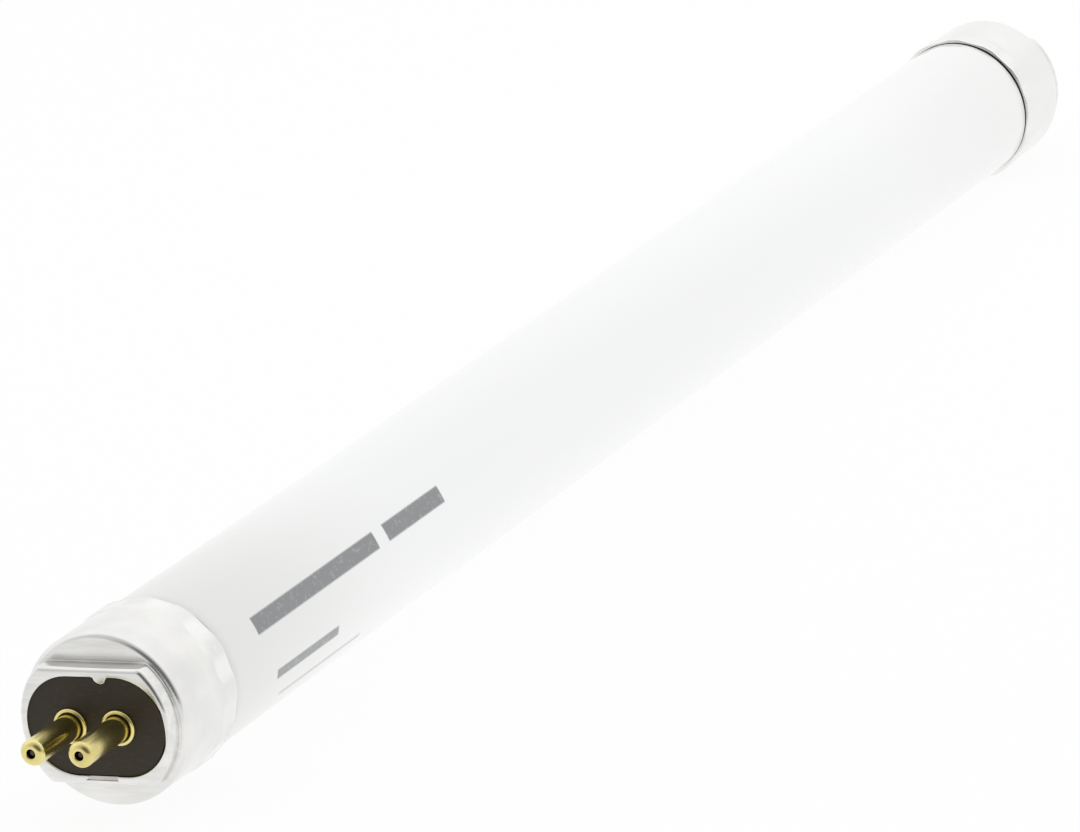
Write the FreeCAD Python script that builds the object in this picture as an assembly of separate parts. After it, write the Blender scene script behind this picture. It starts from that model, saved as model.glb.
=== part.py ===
"""Straight fluorescent tube, 16 mm across, with a two-pin cap on each end.

Each end has a drawn aluminium cap cemented over the drawn-in end of a sealed glass bulb, an
insulator plate held in the cap's raised face, two hollow brass pins riveted through the plate,
and two lead-in wires that run from the bulb's stem into the pins.

Millimetres. X runs along the tube and the origin is its middle. The pins stand side by side
along Y, and the flats of each cap's raised face lie above and below, square to Z. Both ends are
the same: each piece is built for the front end, at minus X, and turned about Z for the rear end.
Along an end, depth is counted inwards from the cap's front face, so the pins are at minus depths.
"""

import FreeCAD, Part
import math
import os

# The whole tube
FACE_TO_FACE = 212.1        # front face of one cap to front face of the other
GLASS_DIAMETER = 15.6
SEAT_CLEARANCE = 0.03       # between pieces that are pressed, riveted or cemented together
TOUCH = 1e-6                # lengths under this count as nothing

# Cap: a cup drawn from one sheet, with a raised flat-sided face
CAP_STEP = 0.2              # how far the barrel stands out from the glass
CAP_SHEET = 0.3
BARREL_LENGTH = 9.4         # shoulder to open rim
BARREL_CORNER = 0.4         # outside radius where barrel turns into shoulder
RIM_FLARE = 0.15            # how far the open rim stands out from the barrel
RIM_LENGTH = 2.1            # straight stretch of the flared rim
RIM_RAMP = 0.7              # length over which the barrel widens to the rim
RIM_EDGE = 0.1              # radius on the rim's outer edge
RIM_FLATS = 12              # flats that the closing of the rim leaves round it
RIM_FLAT_HEIGHT = 0.02      # how far the middle of such a flat stands out from the barrel
BOSS_HEIGHT = 1.85          # shoulder to front face
BOSS_LEDGE = 0.6            # shoulder's width beside the boss's round sides
BOSS_FLATS = 10.7           # across the boss's two flats
BOSS_FLAT_CORNER = 0.8      # outside radius where a flat meets a round side
BOSS_EDGE = 0.4             # outside radius round the front face

# Opening in the front face, with rounded ends
FACE_RIM_AT_FLATS = 0.8     # sheet left between the opening and a flat
FACE_RIM_AT_SIDES = 0.48    # sheet left between the opening and a round side
TAB_RADIUS = 0.62           # half-round tab that keys the insulator
TAB_OFFSET = 1.0            # tab's distance from the middle, to the right as seen from outside
STAKE_LENGTH = 3.0          # punched stake mark below the opening
STAKE_WIDTH = 0.4
STAKE_DEPTH = 0.12

# Insulator plate
INSULATOR_RECESS = 0.2      # its face lies this far behind the cap's front face
INSULATOR_FLANGE = 1.4      # thickness behind the sheet
INSULATOR_CLEARANCE = 0.08  # to the sheet, all round

# Pins
PIN_DIAMETER = 2.37
PIN_SPACING = 4.75
PIN_LENGTH = 7.1            # front face of the cap to the pin's tip
PIN_WALL = 0.4
PIN_TIP_RADIUS = 0.55
PIN_TIP_WALL = 0.4
PIN_TIP_TAPER = 0.35        # length over which the bore closes in to the tip's hole
COLLAR_WIDTH = 0.465        # how far the collar stands out from the pin
COLLAR_THICKNESS = 0.4
COLLAR_EDGE = 0.18
SHANK_STEP = 0.18           # how far the shank behind the collar is drawn in from the pin
RIVET_WIDTH = 0.415         # how far the rivet head stands out from the pin
RIVET_THICKNESS = 0.28

# Lead-in wires
WIRE_DIAMETER = 0.45
WIRE_BEND = 4.0             # radius of the wire's bends
WIRE_IN_GLASS = 1.6         # length sealed into the stem
WIRE_TIP_RECESS = 0.35      # wire's end lies this far inside the pin's tip
WIRE_TIP_CLEARANCE = 0.2    # to the hole in the pin's tip
WIRE_GLASS_CLEARANCE = 0.02

# Glass bulb: a drawn-in neck and an open stem at each end
NECK_RAMP = 1.3             # length over which the neck widens to the full diameter
NECK_REACH = 0.5            # full diameter starts this far outside the cap's rim
BULB_END_SPACE = 2.85       # free space between the cap's shoulder and the bulb's end
BULB_END_RADIUS = 1.2
STEM_BORE = 4.8             # inside of the stem, open towards the cap
STEM_DEPTH = 6.6            # bulb's end to the bottom of the stem
SEAL_WIDTH = 0.7            # flat ring between the stem's bell mouth and the bulb's rounded end
EXHAUST_DIAMETER = 2.2      # sealed-off exhaust tip in the middle of the stem
EXHAUST_LENGTH = 5.2

# Cement between barrel and neck
CEMENT_THICKNESS = 0.34
CEMENT_SETBACK = 0.2        # from the bulb's rounded end to the start of the cement
CEMENT_RIM_SETBACK = 1.65   # from the end of the cement to the cap's open rim

# Worked out from the sizes above
ORIGIN = FreeCAD.Vector(0, 0, 0)
X_AXIS = FreeCAD.Vector(1, 0, 0)
Z_AXIS = FreeCAD.Vector(0, 0, 1)
FRONT_FACE_X = -FACE_TO_FACE / 2
GLASS_RADIUS = GLASS_DIAMETER / 2
CAP_RADIUS = GLASS_RADIUS + CAP_STEP
CAP_LENGTH = BOSS_HEIGHT + BARREL_LENGTH
BOSS_RADIUS = CAP_RADIUS - BOSS_LEDGE
BOSS_HALF_FLATS = BOSS_FLATS / 2
OPENING_HALF_HEIGHT = BOSS_HALF_FLATS - FACE_RIM_AT_FLATS
OPENING_HALF_WIDTH = BOSS_RADIUS - FACE_RIM_AT_SIDES
FLANGE_FRONT = CAP_SHEET + SEAT_CLEARANCE
FLANGE_BACK = FLANGE_FRONT + INSULATOR_FLANGE
PIN_RADIUS = PIN_DIAMETER / 2
SHANK_RADIUS = PIN_RADIUS - SHANK_STEP
WIRE_RADIUS = WIRE_DIAMETER / 2
CEMENT_OUTSIDE = CAP_RADIUS - CAP_SHEET - SEAT_CLEARANCE
CEMENT_INSIDE = CEMENT_OUTSIDE - CEMENT_THICKNESS
NECK_RADIUS = CEMENT_INSIDE - SEAT_CLEARANCE
NECK_END_DEPTH = CAP_LENGTH + NECK_REACH
BULB_END_DEPTH = BOSS_HEIGHT + CAP_SHEET + BULB_END_SPACE
STEM_RADIUS = STEM_BORE / 2
STEM_BOTTOM_DEPTH = BULB_END_DEPTH + STEM_DEPTH
STEM_FLARE = NECK_RADIUS - BULB_END_RADIUS - SEAL_WIDTH - STEM_RADIUS
EXHAUST_RADIUS = EXHAUST_DIAMETER / 2
WIRE_STEM_Y = (STEM_RADIUS + EXHAUST_RADIUS) / 2


def at(depth, y, z):
    """Point of the front end, from its depth behind the cap's front face."""
    return FreeCAD.Vector(FRONT_FACE_X + depth, y, z)


def arc_to(start, centre, end):
    """Step of an outline: an arc about centre, as its middle point and its end."""
    a = FreeCAD.Vector(start[0] - centre[0], start[1] - centre[1], 0)
    b = FreeCAD.Vector(end[0] - centre[0], end[1] - centre[1], 0)
    middle = (a + b).normalize() * a.Length
    return (centre[0] + middle.x, centre[1] + middle.y), end


def s_bend(start, end):
    """Two outline steps that lead along X from one radius to another with no corner."""
    run = end[0] - start[0]
    rise = end[1] - start[1]
    radius = (run * run + rise * rise) / (4 * rise)
    halfway = (start[0] + run / 2, start[1] + rise / 2)
    first = arc_to(start, (start[0], start[1] + radius), halfway)
    second = arc_to(halfway, (end[0], end[1] - radius), end)
    return first, second


def outline_edges(start, steps):
    """Edges through (depth, radius) points; a step is an end point or an arc's (middle, end)."""
    edges = []
    here = start
    for step in steps:
        if isinstance(step[0], tuple):
            middle, end = step
            curve = Part.Arc(at(here[0], 0, here[1]), at(middle[0], 0, middle[1]), at(end[0], 0, end[1]))
        else:
            end = step
            curve = Part.LineSegment(at(here[0], 0, here[1]), at(end[0], 0, end[1]))
        edges.append(curve.toShape())
        here = end
    return edges


def revolved(start, *steps):
    """Solid turned about the X axis from a closed outline of (depth, radius) points."""
    face = Part.Face(Part.Wire(outline_edges(start, [*steps, start])))
    return face.revolve(ORIGIN, X_AXIS, 360)


def cylinder(radius, front, back, y=0.0, z=0.0):
    """Round bar along X between two depths."""
    return Part.makeCylinder(radius, back - front, at(front, y, z), X_AXIS)


def block(half_width, bottom, top, front, back, y=0.0):
    """Box between two depths and two heights, centred on y."""
    return Part.makeBox(back - front, 2 * half_width, top - bottom, at(front, y - half_width, bottom))


def edges_at_depth(shape, depth):
    """Edges that lie flat in the plane at a depth."""
    x = FRONT_FACE_X + depth
    return [e for e in shape.Edges if max(abs(v - x) for v in (e.BoundBox.XMin, e.BoundBox.XMax)) < TOUCH]


def flat_sided_disc(radius, half_flats, corner, edge, front, back):
    """Disc with two flats, rounded where flat and round side meet and round its front edge."""
    disc = cylinder(radius, front, back).common(block(radius, -half_flats, half_flats, front, back))
    upright = [
        e for e in disc.Edges
        if e.BoundBox.XLength > (back - front) / 2 and abs(abs(e.CenterOfMass.z) - half_flats) < TOUCH
    ]
    disc = disc.makeFillet(corner, upright)
    return disc.makeFillet(edge, edges_at_depth(disc, front))


def round_ended_slab(half_width, half_height, front, back):
    """Slab whose two ends, left and right, are half round."""
    centre = half_width - half_height
    slab = block(centre, -half_height, half_height, front, back)
    for y in (-centre, centre):
        slab = slab.fuse(cylinder(half_height, front, back, y))
    return slab.removeSplitter()


def barrel_skin(inset):
    """Solid bounded by the barrel's outside moved inwards by inset, from shoulder to rim."""
    radius = CAP_RADIUS - inset
    shoulder = BOSS_HEIGHT + inset
    corner = max(BARREL_CORNER - inset, SEAT_CLEARANCE)
    rim_start = (CAP_LENGTH - RIM_LENGTH, radius + RIM_FLARE)
    ramp_start = (rim_start[0] - RIM_RAMP, radius)
    turn = (shoulder, radius - corner)
    return revolved(
        (shoulder, 0.0),
        turn,
        arc_to(turn, (shoulder + corner, radius - corner), (shoulder + corner, radius)),
        ramp_start,
        rim_start,
        (CAP_LENGTH, rim_start[1]),
        (CAP_LENGTH, 0.0),
    )


def boss_skin(inset, back):
    """Solid bounded by the boss's outside moved inwards by inset, back to a depth."""
    return flat_sided_disc(
        BOSS_RADIUS - inset,
        BOSS_HALF_FLATS - inset,
        max(BOSS_FLAT_CORNER - inset, SEAT_CLEARANCE),
        max(BOSS_EDGE - inset, SEAT_CLEARANCE),
        inset,
        back,
    )


def flattened_rim(drawn):
    """The barrel with its rim's edge rounded and a ring of shallow flats pressed into the rim."""
    pressed = drawn.makeFillet(min(RIM_EDGE, CAP_SHEET / 3), edges_at_depth(drawn, CAP_LENGTH))
    flat_start = CAP_LENGTH - RIM_LENGTH - RIM_RAMP
    low = CAP_RADIUS + RIM_FLAT_HEIGHT
    tool = block(CAP_RADIUS, low, low + CAP_RADIUS, flat_start, CAP_LENGTH + RIM_LENGTH)
    pitch = 360 / RIM_FLATS
    for number in range(RIM_FLATS):
        turned = tool.copy()
        turned.rotate(ORIGIN, X_AXIS, (number + 0.5) * pitch)
        pressed = pressed.cut(turned)
    return pressed


def key_tab(clearance, front, back):
    """Half-round tab on the opening's upper edge."""
    return cylinder(TAB_RADIUS + clearance, front, back, -TAB_OFFSET, OPENING_HALF_HEIGHT)


def cap():
    """Drawn cup: barrel with a flared rim, and a raised face with the keyed opening."""
    inside_back = BOSS_HEIGHT + CAP_SHEET
    outside = flattened_rim(barrel_skin(0)).fuse(boss_skin(0, inside_back))
    inside = barrel_skin(CAP_SHEET).fuse(boss_skin(CAP_SHEET, inside_back + BARREL_CORNER))
    opening = round_ended_slab(OPENING_HALF_WIDTH, OPENING_HALF_HEIGHT, -CAP_SHEET, 2 * CAP_SHEET)
    opening = opening.cut(key_tab(0, -CAP_SHEET, CAP_SHEET))
    stake_low = -OPENING_HALF_HEIGHT - STAKE_WIDTH
    stake = block(STAKE_LENGTH / 2, stake_low, -OPENING_HALF_HEIGHT + STAKE_DEPTH, -CAP_SHEET, STAKE_DEPTH)
    return outside.cut(inside).cut(opening).cut(stake).removeSplitter()


def insulator():
    """Plate behind the raised face, with a key that fills the opening and two pin holes."""
    inset = CAP_SHEET + INSULATOR_CLEARANCE
    flange = flat_sided_disc(
        BOSS_RADIUS - inset,
        BOSS_HALF_FLATS - inset,
        max(BOSS_FLAT_CORNER - inset, SEAT_CLEARANCE),
        max(BOSS_EDGE - CAP_SHEET, SEAT_CLEARANCE),
        FLANGE_FRONT,
        FLANGE_BACK,
    )
    key = round_ended_slab(
        OPENING_HALF_WIDTH - INSULATOR_CLEARANCE,
        OPENING_HALF_HEIGHT - INSULATOR_CLEARANCE,
        INSULATOR_RECESS,
        FLANGE_BACK,
    )
    plate = flange.fuse(key.cut(key_tab(INSULATOR_CLEARANCE, 0, FLANGE_FRONT))).removeSplitter()
    for y in (-PIN_SPACING / 2, PIN_SPACING / 2):
        plate = plate.cut(cylinder(SHANK_RADIUS + SEAT_CLEARANCE, 0, FLANGE_BACK, y))
    return plate


def pin(y):
    """Hollow pin: rounded tip, collar on the plate's face, shank through it, rivet head behind it."""
    tip = -PIN_LENGTH
    bore = PIN_RADIUS - PIN_WALL
    hole = WIRE_RADIUS + WIRE_TIP_CLEARANCE
    collar = PIN_RADIUS + COLLAR_WIDTH
    rivet = PIN_RADIUS + RIVET_WIDTH
    collar_back = INSULATOR_RECESS - SEAT_CLEARANCE
    collar_front = collar_back - COLLAR_THICKNESS
    rivet_front = FLANGE_BACK + SEAT_CLEARANCE
    rivet_back = rivet_front + RIVET_THICKNESS
    bore_end = tip + PIN_TIP_WALL + PIN_TIP_TAPER
    dome_start = (tip, PIN_RADIUS - PIN_TIP_RADIUS)
    edge_start = (collar_front, collar - COLLAR_EDGE)
    turned = revolved(
        (tip, hole),
        dome_start,
        arc_to(dome_start, (tip + PIN_TIP_RADIUS, dome_start[1]), (tip + PIN_TIP_RADIUS, PIN_RADIUS)),
        (collar_front, PIN_RADIUS),
        edge_start,
        arc_to(edge_start, (collar_front + COLLAR_EDGE, edge_start[1]), (collar_front + COLLAR_EDGE, collar)),
        (collar_back, collar),
        (collar_back, SHANK_RADIUS),
        (rivet_front, SHANK_RADIUS),
        (rivet_front, rivet),
        (rivet_back, rivet),
        (rivet_back, bore),
        (bore_end, bore),
        (tip + PIN_TIP_WALL, hole),
    )
    turned.translate(FreeCAD.Vector(0, y, 0))
    return turned


def bulb():
    """Sealed bulb as one solid: drawn-in ends, and an open stem with its exhaust tip in each end."""
    exhaust_tip = STEM_BOTTOM_DEPTH - EXHAUST_LENGTH
    mouth = BULB_END_DEPTH + STEM_FLARE
    bell_end = (BULB_END_DEPTH, STEM_RADIUS + STEM_FLARE)
    tip_round = (exhaust_tip + EXHAUST_RADIUS, EXHAUST_RADIUS)
    rim_end = (BULB_END_DEPTH, NECK_RADIUS - BULB_END_RADIUS)
    neck_front = (BULB_END_DEPTH + BULB_END_RADIUS, NECK_RADIUS)
    neck_back = (NECK_END_DEPTH - NECK_RAMP, NECK_RADIUS)
    full = (NECK_END_DEPTH, GLASS_RADIUS)
    half = revolved(
        (exhaust_tip, 0.0),
        arc_to((exhaust_tip, 0.0), (tip_round[0], 0.0), tip_round),
        (STEM_BOTTOM_DEPTH, EXHAUST_RADIUS),
        (STEM_BOTTOM_DEPTH, STEM_RADIUS),
        (mouth, STEM_RADIUS),
        arc_to((mouth, STEM_RADIUS), (mouth, bell_end[1]), bell_end),
        rim_end,
        arc_to(rim_end, (neck_front[0], rim_end[1]), neck_front),
        neck_back,
        *s_bend(neck_back, full),
        (FACE_TO_FACE / 2, GLASS_RADIUS),
        (FACE_TO_FACE / 2, 0.0),
    )
    for y in (-WIRE_STEM_Y, WIRE_STEM_Y):
        wire_end = STEM_BOTTOM_DEPTH + WIRE_IN_GLASS
        half = half.cut(cylinder(WIRE_RADIUS + WIRE_GLASS_CLEARANCE, STEM_BOTTOM_DEPTH, wire_end, y))
    return half.fuse(turned_to_rear(half)).removeSplitter()


def bent_path(points, bend):
    """Wire of straight runs joined by tangent arcs of one radius."""
    edges = []
    here = points[0]
    for before, corner, after in zip(points, points[1:], points[2:]):
        incoming = (corner - before).normalize()
        outgoing = (after - corner).normalize()
        half_turn = incoming.getAngle(outgoing) / 2
        reach = bend * math.tan(half_turn)
        arc_start = corner - incoming * reach
        arc_end = corner + outgoing * reach
        towards_centre = (outgoing - incoming).normalize()
        arc_middle = corner + towards_centre * (bend / math.cos(half_turn) - bend)
        edges.append(Part.LineSegment(here, arc_start).toShape())
        edges.append(Part.Arc(arc_start, arc_middle, arc_end).toShape())
        here = arc_end
    edges.append(Part.LineSegment(here, points[-1]).toShape())
    return Part.Wire(edges)


def lead_wire(side):
    """Wire from the bulb's stem into a pin; side is 1 for the left pin and -1 for the right."""
    pin_y = side * PIN_SPACING / 2
    stem_y = side * WIRE_STEM_Y
    start = at(WIRE_TIP_RECESS - PIN_LENGTH, pin_y, 0)
    leaves_pin = at((FLANGE_BACK + BULB_END_DEPTH) / 2, pin_y, 0)
    enters_stem = at(BULB_END_DEPTH + STEM_FLARE, stem_y, 0)
    end = at(STEM_BOTTOM_DEPTH + WIRE_IN_GLASS, stem_y, 0)
    path = bent_path([start, leaves_pin, enters_stem, end], WIRE_BEND)
    section = Part.Wire([Part.makeCircle(WIRE_RADIUS, start, X_AXIS)])
    return path.makePipeShell([section], True, False)


def cement():
    """Ring of cement between the neck and the inside of the barrel."""
    front = BULB_END_DEPTH + BULB_END_RADIUS + CEMENT_SETBACK
    back = CAP_LENGTH - CEMENT_RIM_SETBACK
    return revolved(
        (front, CEMENT_INSIDE),
        (front, CEMENT_OUTSIDE),
        (back, CEMENT_OUTSIDE),
        (back, CEMENT_INSIDE),
    )


def turned_to_rear(shape):
    """Copy of a front-end piece, turned half a turn about Z to the rear end."""
    rear = shape.copy()
    rear.rotate(ORIGIN, Z_AXIS, 180)
    return rear


def main():
    end_pieces = {
        "cap": cap(),
        "insulator": insulator(),
        "cement": cement(),
        "pin_left": pin(PIN_SPACING / 2),
        "pin_right": pin(-PIN_SPACING / 2),
        "lead_wire_left": lead_wire(1),
        "lead_wire_right": lead_wire(-1),
    }
    nodes = {"glass_tube": bulb()}
    for name, shape in end_pieces.items():
        nodes["front_" + name] = shape
        nodes["rear_" + name] = turned_to_rear(shape)
    os.makedirs("parts", exist_ok=True)
    for name, shape in nodes.items():
        solid = shape.Solids[0]
        print(f"{name}: {len(shape.Solids)} solid, valid {shape.isValid()}, {solid.Volume:.2f} mm3")
        solid.exportStep(f"parts/{name}.step")


main()
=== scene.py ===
"""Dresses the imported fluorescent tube: fine meshes, finishes, a plain studio and a camera.

Metres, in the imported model's frame: X runs along the tube, the pins of an end stand side by side
along Y. Depths are counted inwards from a cap's front face. The caps and pins are made for the front
end, at minus X, and turned half a turn about Z for the rear end. The rear end of the glass mirrors
its front end.
"""

import math
from collections import namedtuple

import bmesh
import bpy
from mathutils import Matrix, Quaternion, Vector


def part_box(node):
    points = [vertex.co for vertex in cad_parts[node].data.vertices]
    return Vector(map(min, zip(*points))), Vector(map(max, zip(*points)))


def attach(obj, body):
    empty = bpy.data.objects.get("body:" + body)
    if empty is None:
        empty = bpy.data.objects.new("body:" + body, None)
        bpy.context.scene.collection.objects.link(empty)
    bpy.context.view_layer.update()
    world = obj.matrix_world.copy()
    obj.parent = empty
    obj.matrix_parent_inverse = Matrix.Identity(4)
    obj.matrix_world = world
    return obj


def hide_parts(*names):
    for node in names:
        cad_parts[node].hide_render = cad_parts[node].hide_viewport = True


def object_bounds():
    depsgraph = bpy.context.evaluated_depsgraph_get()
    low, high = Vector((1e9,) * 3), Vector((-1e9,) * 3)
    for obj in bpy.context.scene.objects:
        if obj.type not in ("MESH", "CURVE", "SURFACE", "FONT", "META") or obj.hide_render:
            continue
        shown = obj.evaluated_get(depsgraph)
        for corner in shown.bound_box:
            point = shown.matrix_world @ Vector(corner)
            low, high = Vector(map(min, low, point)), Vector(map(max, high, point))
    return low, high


bl_info = {
    "name": "Fluorescent tube",
    "version": (1, 0, 0),
    "blender": (4, 5, 0),
    "location": "3D View > Sidebar > Tube",
    "description": "Makes the glass, caps, plates, pins and studio of a straight fluorescent tube",
    "category": "Object",
}

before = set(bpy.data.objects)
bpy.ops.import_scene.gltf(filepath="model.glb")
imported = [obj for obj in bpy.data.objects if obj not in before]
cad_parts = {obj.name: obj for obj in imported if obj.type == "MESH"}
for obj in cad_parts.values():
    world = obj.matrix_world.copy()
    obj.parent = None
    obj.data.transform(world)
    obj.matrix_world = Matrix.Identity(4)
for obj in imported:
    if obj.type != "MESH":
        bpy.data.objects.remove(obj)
CAD_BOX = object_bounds()

MM = 0.001
BODY = "root"
ENDS = ("front", "rear")
SIDES = ("left", "right")
RIGHT_ANGLE = math.pi / 2
FULL_TURN = 2 * math.pi
FACE_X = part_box("front_cap")[0].x
CAP_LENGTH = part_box("front_cap")[1].x - FACE_X
WHITE = (1.0, 1.0, 1.0, 1.0)
SENSOR_WIDTH = 36.0
CLIP_START = 10 * MM

# Points round a ring, and where a cap has more of them: degrees to each side of a place, and a count.
GLASS_STEPS = 384
PIN_STEPS = 96
CAP_STEPS = 240
Cluster = namedtuple("Cluster", "reach count")
CORNER_CLUSTER = Cluster(7.0, 24)
TAB_CLUSTER = Cluster(8.2, 28)
PINCH_CLUSTER = Cluster(2.4, 9)
LEAST_STEP = math.radians(0.12)
SHARP_ANGLE = math.radians(38)

# Sides of a round in a section, as angles from the side towards the axis over the front.
INNER = 0.0
FRONT = RIGHT_ANGLE
OUTER = 2 * RIGHT_ANGLE

# Rings of the glass: where the stem's bottom is filled, and the share of the length with even rings.
STEM_FILL = 1 / 3
STRAIGHT_SHARE = 0.8

# Rings of a cap: shares of the way over its face and ledge, a step beside a rounding, which holds its
# shading, and how many half widths of a pinch mark they cover.
STAKE_SHARE = 0.88
STAKE_END = 0.98
LEDGE_SHARES = (0.06, 0.9)
HOLD = 0.1 * MM
PINCH_REACH = 2.2
RIM_FLATS = 12

# Share of the opening's rounding that is left at the key tab's corners, and how slowly it fills out.
LEAST_BREAK = 0.1
BREAK_RUN = 2

# Rings of a pin: places from its tip, and collar heights over which the painted shade above the collar builds
# up.
SHAFT_RINGS = (0.7 * MM, 2.0 * MM, 4.0 * MM, 6.0 * MM)
PIN_SHADE_RINGS = (3, 2, 1)

# Share of a collar's bead over which that painted shade thins out again.
COLLAR_SHADE = 0.3

# Cover of the painted shade on a cap, from none at 0 to full at 1, and the share of it on the flank of its
# face.
GROOVE_SHADE = 0.44
SIDE_SHADE = 0.1
STAKE_SHADE = 0.42
RIM_SHADE = 0.2
INSIDE_SHADE = 0.4
FLANK_SHARE = 0.5

# Patterns of the finishes: scale to the metre, detail, and the share of that scale along X, Y and Z.
Grain = namedtuple("Grain", "scale detail along", defaults=((1.0, 1.0, 1.0),))
COAT_CLOUD = Grain(45.0, 3.0)
INK_WEAR = Grain(1800.0, 3.0)
GLASS_SMEAR = Grain(160.0, 4.0, (0.4, 1.0, 1.0))
BARREL_RINGS = Grain(9000.0, 3.0, (1.0, 0.0, 0.0))
ROLLED_LINES = Grain(7000.0, 3.0, (0.0, 0.03, 1.0))
FACE_STREAKS = Grain(1500.0, 2.0, (1.0, 0.15, 1.0))
METAL_PATCHES = Grain(260.0, 3.0)
FIBRES = Grain(3200.0, 4.0, (1.0, 0.35, 1.0))
MOTTLE = Grain(420.0, 3.0)
BRASS_PATCHES = Grain(520.0, 4.0)
TURNING_LINES = Grain(6000.0, 2.0, (1.0, 0.0, 0.0))
HEAT_PATCHES = Grain(1500.0, 3.0)
CEMENT_GRAINS = Grain(2400.0, 5.0)

# Stretches of a pattern over which its marks come up.
WEAR_SPAN = (0.2, 0.5)
BURNISH_AND_HIGHLIGHT_SPAN = (0.25, 0.6)
PATCH_SPAN = (0.3, 0.7)
FIBRE_SPAN = (0.5, 0.75)
TARNISH_SPAN = (0.45, 0.8)

# How far a pattern varies what it acts on, and the share of the barrel's corner where the finish changes.
COAT_SWING = 0.5
SHADE_SWING = 1.2
CORNER_SHARE = 0.25

# Roughness that each feature of a finish adds.
SMEAR_ROUGH = 0.07
LINE_ROUGH = 0.06
PATCH_ROUGH = 0.08
BARREL_ROUGH = 0.06
FACE_ROUGH = 0.12
LEDGE_ROUGH = 0.1
SHADE_ROUGH = 0.25
MOTTLE_ROUGH = 0.2
TARNISH_ROUGH = 0.09
TURNING_ROUGH = 0.04
HEAT_ROUGH = 0.2
GRAIN_ROUGH = 0.15

# Plain printed bars: where they start along the tube, their turn about it, and how strong the ink is.
InkBar = namedtuple("InkBar", "start length turn height strength")
INK_BARS = (
    InkBar(-88.5 * MM, 24.0 * MM, math.radians(-25), 1.7 * MM, 1.0),
    InkBar(-62.5 * MM, 11.5 * MM, math.radians(-25), 1.7 * MM, 1.0),
    InkBar(-86.5 * MM, 12.0 * MM, math.radians(14), 0.9 * MM, 0.9),
    InkBar(-85.0 * MM, 16.0 * MM, math.radians(33), 0.45 * MM, 0.45),
)
INK_BLUR = 0.12 * MM
LEAST_INK = 0.8


def number(name, description, default, **options):
    """Property for one number."""
    return bpy.props.FloatProperty(name=name, description=description, default=default, **options)


def length(name, description, millimetres):
    """Property for a length, from its default in millimetres."""
    return number(name, description, millimetres * MM, unit="LENGTH", precision=5)


def amount(name, description, default):
    """Property for a plain number between nothing and one."""
    return number(name, description, default, min=0.0, max=1.0, subtype="FACTOR")


def brightness(name, description, default):
    """Property for the brightness of a light, where 1 shows as white."""
    return number(name, description, default, min=0.0, max=4.0)


def degrees(name, description, default):
    """Property for an angle, from its default in degrees."""
    return number(name, description, math.radians(default), subtype="ANGLE")


def triple(name, description, default, **options):
    """Property for three numbers."""
    return bpy.props.FloatVectorProperty(name=name, description=description, default=default, **options)


def colour(name, description, default):
    """Property for a linear colour."""
    return triple(name, description, default, min=0.0, max=1.0, subtype="COLOR")


def position(name, description, default):
    """Property for a place in metres."""
    return triple(name, description, default, unit="LENGTH", subtype="TRANSLATION")


class GlassSettings(bpy.types.PropertyGroup):
    """Sizes and colours of the coated glass."""

    radius: length("Radius", "Outside of the glass", 7.8)
    neck_radius: length("Neck radius", "Outside of the drawn-in neck", 7.3)
    neck_start: length("Neck start", "Depth at which the neck starts to widen", 10.45)
    neck_end: length("Neck end", "Depth at which the neck has the full radius", 11.75)
    neck_lean: length("Neck lean", "How much further inside the cap the neck starts on its far side", 0.95)
    neck_turn: degrees("Neck turn", "Side on which the neck starts nearest to the rim", 135)
    end_depth: length("End depth", "Depth of the bulb's end inside the cap", 5.0)
    end_round: length("End rounding", "Radius of the bulb's end", 1.2)
    stem_radius: length("Stem radius", "Inside of the open stem", 2.4)
    stem_mouth: length("Stem mouth", "Radius of the stem's bell mouth at the bulb's end", 5.4)
    stem_bottom: length("Stem bottom", "Depth of the bottom of the stem", 11.6)
    coat: colour("Coat", "Phosphor coat seen through the glass", (0.89, 0.90, 0.895))
    # Colour of the greyer glass beside the caps.
    grey_coat: colour("Coat near the ends", "Thinner coat beside the caps", (0.79, 0.795, 0.772))
    # Dark glass: the bare neck inside the cap, and the painted shadows beside the rim.
    bare_and_shadow: colour("Bare neck", "Uncoated glass inside the cap", (0.28, 0.27, 0.245))
    coat_edge: length("Coat edge", "Cap's rim to the coat's edge, below zero inside the cap", -1.0)
    # The lean carries the dark band past the rim on one side, as a painted shadow.
    rim_shadow_lean: length("Coat lean", "How far the coat's edge leans round the tube", 0.95)
    coat_fade: length("Coat fade", "Half width over which the coat thins out at its edge", 0.3)
    # A painted shadow of dark glass beside the rim: its share, and how far it reaches.
    rim_shadow: amount("Haze", "Share of bare glass that shows through the coat at the rim", 0.18)
    rim_shadow_length: length("Haze length", "How far the haze reaches from the rim", 1.6)
    # How far the greyer glass reaches from each cap.
    grey_length: length("Worn length", "How far the thinner coat reaches from the cap", 40.0)
    # Less grey at the rear end, which leaves painted shade on the front end's glass.
    rear_glass_light: amount("Rear coat", "How much fuller the coat beside the rear cap is", 0.6)
    ink: colour("Ink", "Grey of the plain printed bars", (0.24, 0.25, 0.26))
    roughness: amount("Roughness", "Roughness of the cleanest glass", 0.05)


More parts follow.
